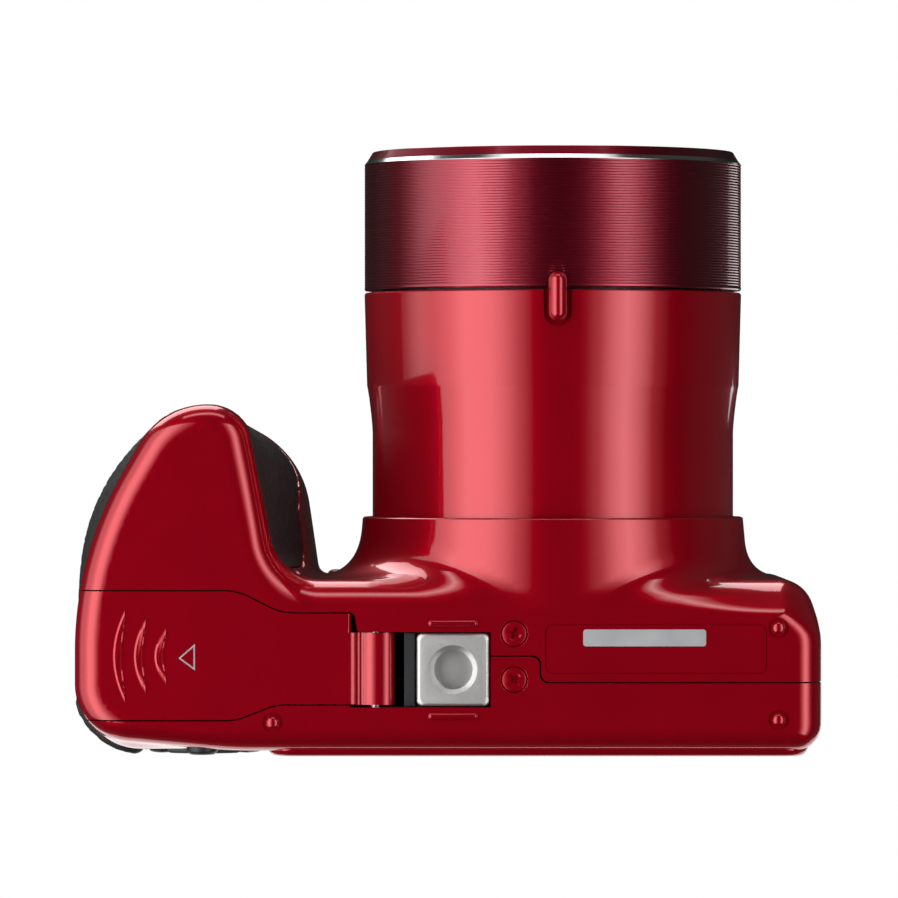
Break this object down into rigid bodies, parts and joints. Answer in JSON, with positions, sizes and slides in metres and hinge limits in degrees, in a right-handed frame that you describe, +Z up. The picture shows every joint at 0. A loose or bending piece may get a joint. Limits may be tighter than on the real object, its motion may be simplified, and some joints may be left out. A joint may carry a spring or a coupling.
{
  "type": "superzoom digital camera",
  "caption": "Fixed-lens superzoom camera with a deep rubber grip, extending lens, pop-up flash, hinged battery door and rear display.",
  "frame": {"origin": "centre of the bounding box at the base, on the surface the camera stands on", "axes": "+X to the side away from the grip, +Y to the rear with the lens looking along -Y, +Z up"},
  "size_m": [0.1078, 0.0858, 0.069],
  "materials": {
    "red_lacquer": "satin metallic lacquer",
    "dark_red_anodised": "fine turned, anodised",
    "black_rubber": "fine grain",
    "black_plastic": "fine texture",
    "steel": "plain",
    "blasted_nickel": "bead blasted",
    "lens_glass": "coated",
    "screen": "dark tint",
    "circuit_board": "solder mask",
    "grey_plastic": "plain",
    "clear_window": "clear",
    "lamp_window": "tinted"
  },
  "bodies": {
    "camera_body": {"front_cover": "red_lacquer", "rear_cover": "red_lacquer", "top_cover": "red_lacquer", "lens_barrel": "red_lacquer", "lens_rest": "red_lacquer", "lens_front_ring": "dark_red_anodised", "base_screw_front": "dark_red_anodised", "base_screw_rear": "dark_red_anodised", "grip_rubber": "black_rubber", "thumb_rest": "black_rubber", "battery_box": "black_plastic", "memory_card": "black_plastic", "base_bracket": "black_plastic", "lens_guide_tube": "black_plastic", "flash_capacitor": "black_plastic", "speaker": "black_plastic", "guide_rod_left": "steel", "guide_rod_right": "steel", "flash_hinge_pin": "steel", "strap_lug_left": "steel", "strap_lug_right": "steel", "terminal_pin": "steel", "data_connector": "steel", "zoom_motor": "steel", "tripod_plate": "blasted_nickel", "display_window": "screen", "main_board": "circuit_board", "battery": "grey_plastic", "display_module": "grey_plastic", "image_sensor": "grey_plastic", "focus_lamp_window": "lamp_window"},
    "door_carrier": {"door_hinge_pin": "steel"},
    "door": {"battery_door": "red_lacquer"},
    "outer_barrel": {"moving_barrel_outer": "black_plastic"},
    "inner_barrel": {"moving_barrel_inner": "black_plastic", "lens_trim_ring": "black_plastic", "front_lens": "lens_glass"},
    "cam": {"zoom_cam_ring": "black_plastic"},
    "zoom_group": {"zoom_lens_group": "lens_glass"},
    "focus_group": {"focus_lens_group": "lens_glass"},
    "flash": {"flash_head": "red_lacquer", "flash_reflector": "steel", "flash_tube": "clear_window", "flash_window": "clear_window"},
    "lever": {"zoom_lever": "black_plastic"},
    "terminal": {"terminal_cover": "red_lacquer"},
    "movie_button_body": {"movie_button": "black_plastic"},
    "playback_button_body": {"playback_button": "black_plastic"},
    "wireless_button_body": {"wireless_button": "black_plastic"},
    "menu_button_body": {"menu_button": "black_plastic"},
    "set_button_body": {"set_button": "black_plastic"},
    "key_up_body": {"key_up": "black_plastic"},
    "key_left_body": {"key_left": "black_plastic"},
    "key_down_body": {"key_down": "black_plastic"},
    "key_right_body": {"key_right": "black_plastic"},
    "power_button_body": {"power_button": "black_plastic"},
    "shutter_button_body": {"shutter_button": "red_lacquer"}
  },
  "joints": [
    {"name": "door_slide", "type": "slide", "parent": "camera_body", "child": "door_carrier", "axis": [-1, 0, 0], "range_m": [0, 0.003]},
    {"name": "door_swing", "type": "hinge", "parent": "door_carrier", "child": "door", "pos_m": [-0.0102, 0.0302, 0.00335], "axis": [0, -1, 0], "range_deg": [0, 100]},
    {"name": "zoom_extend", "type": "slide", "parent": "camera_body", "child": "outer_barrel", "axis": [0, -1, 0], "range_m": [0, 0.022]},
    {"name": "inner_extend", "type": "slide", "parent": "outer_barrel", "child": "inner_barrel", "axis": [0, -1, 0], "range_m": [0, 0.02]},
    {"name": "cam_turn", "type": "hinge", "parent": "camera_body", "child": "cam", "pos_m": [0.015, 0, 0.029], "axis": [0, -1, 0], "range_deg": [0, 120]},
    {"name": "zoom_group_travel", "type": "slide", "parent": "camera_body", "child": "zoom_group", "axis": [0, -1, 0], "range_m": [0, 0.016]},
    {"name": "focus_travel", "type": "slide", "parent": "camera_body", "child": "focus_group", "axis": [0, -1, 0], "range_m": [0, 0.003]},
    {"name": "flash_raise", "type": "hinge", "parent": "camera_body", "child": "flash", "pos_m": [0.015, 0.0255, 0.066], "axis": [-1, 0, 0], "range_deg": [0, 40]},
    {"name": "zoom_lever_turn", "type": "hinge", "parent": "camera_body", "child": "lever", "pos_m": [-0.0345, 0.003, 0.05366], "axis": [0, -0.2079, 0.9781], "range_deg": [-20, 20], "stiffness_Nm_per_rad": 0.02},
    {"name": "terminal_swing", "type": "hinge", "parent": "camera_body", "child": "terminal", "pos_m": [0.05125, 0.02455, 0.024], "axis": [0, 0, -1], "range_deg": [0, 95]},
    {"name": "shutter_press", "type": "slide", "parent": "camera_body", "child": "shutter_button_body", "axis": [0, 0.2079, -0.9781], "range_m": [0, 0.0004], "stiffness_N_per_m": 150},
    {"name": "power_press", "type": "slide", "parent": "camera_body", "child": "power_button_body", "axis": [0, 0, -1], "range_m": [0, 0.0004], "stiffness_N_per_m": 150},
    {"name": "movie_button_press", "type": "slide", "parent": "camera_body", "child": "movie_button_body", "axis": [0, -1, 0], "range_m": [0, 0.0004], "stiffness_N_per_m": 150},
    {"name": "playback_button_press", "type": "slide", "parent": "camera_body", "child": "playback_button_body", "axis": [0, -1, 0], "range_m": [0, 0.0004], "stiffness_N_per_m": 150},
    {"name": "wireless_button_press", "type": "slide", "parent": "camera_body", "child": "wireless_button_body", "axis": [0, -1, 0], "range_m": [0, 0.0004], "stiffness_N_per_m": 150},
    {"name": "menu_button_press", "type": "slide", "parent": "camera_body", "child": "menu_button_body", "axis": [0, -1, 0], "range_m": [0, 0.0004], "stiffness_N_per_m": 150},
    {"name": "set_button_press", "type": "slide", "parent": "camera_body", "child": "set_button_body", "axis": [0, -1, 0], "range_m": [0, 0.0004], "stiffness_N_per_m": 150},
    {"name": "key_up_press", "type": "slide", "parent": "camera_body", "child": "key_up_body", "axis": [0, -1, 0], "range_m": [0, 0.0004], "stiffness_N_per_m": 150},
    {"name": "key_left_press", "type": "slide", "parent": "camera_body", "child": "key_left_body", "axis": [0, -1, 0], "range_m": [0, 0.0004], "stiffness_N_per_m": 150},
    {"name": "key_down_press", "type": "slide", "parent": "camera_body", "child": "key_down_body", "axis": [0, -1, 0], "range_m": [0, 0.0004], "stiffness_N_per_m": 150},
    {"name": "key_right_press", "type": "slide", "parent": "camera_body", "child": "key_right_body", "axis": [0, -1, 0], "range_m": [0, 0.0004], "stiffness_N_per_m": 150}
  ],
  "couplings": [
    {"joint": "inner_extend", "follows": "zoom_extend", "ratio": 0.90909},
    {"joint": "cam_turn", "follows": "zoom_extend", "rad_per_m": 95.2},
    {"joint": "zoom_group_travel", "follows": "zoom_extend", "ratio": 0.72727}
  ]
}
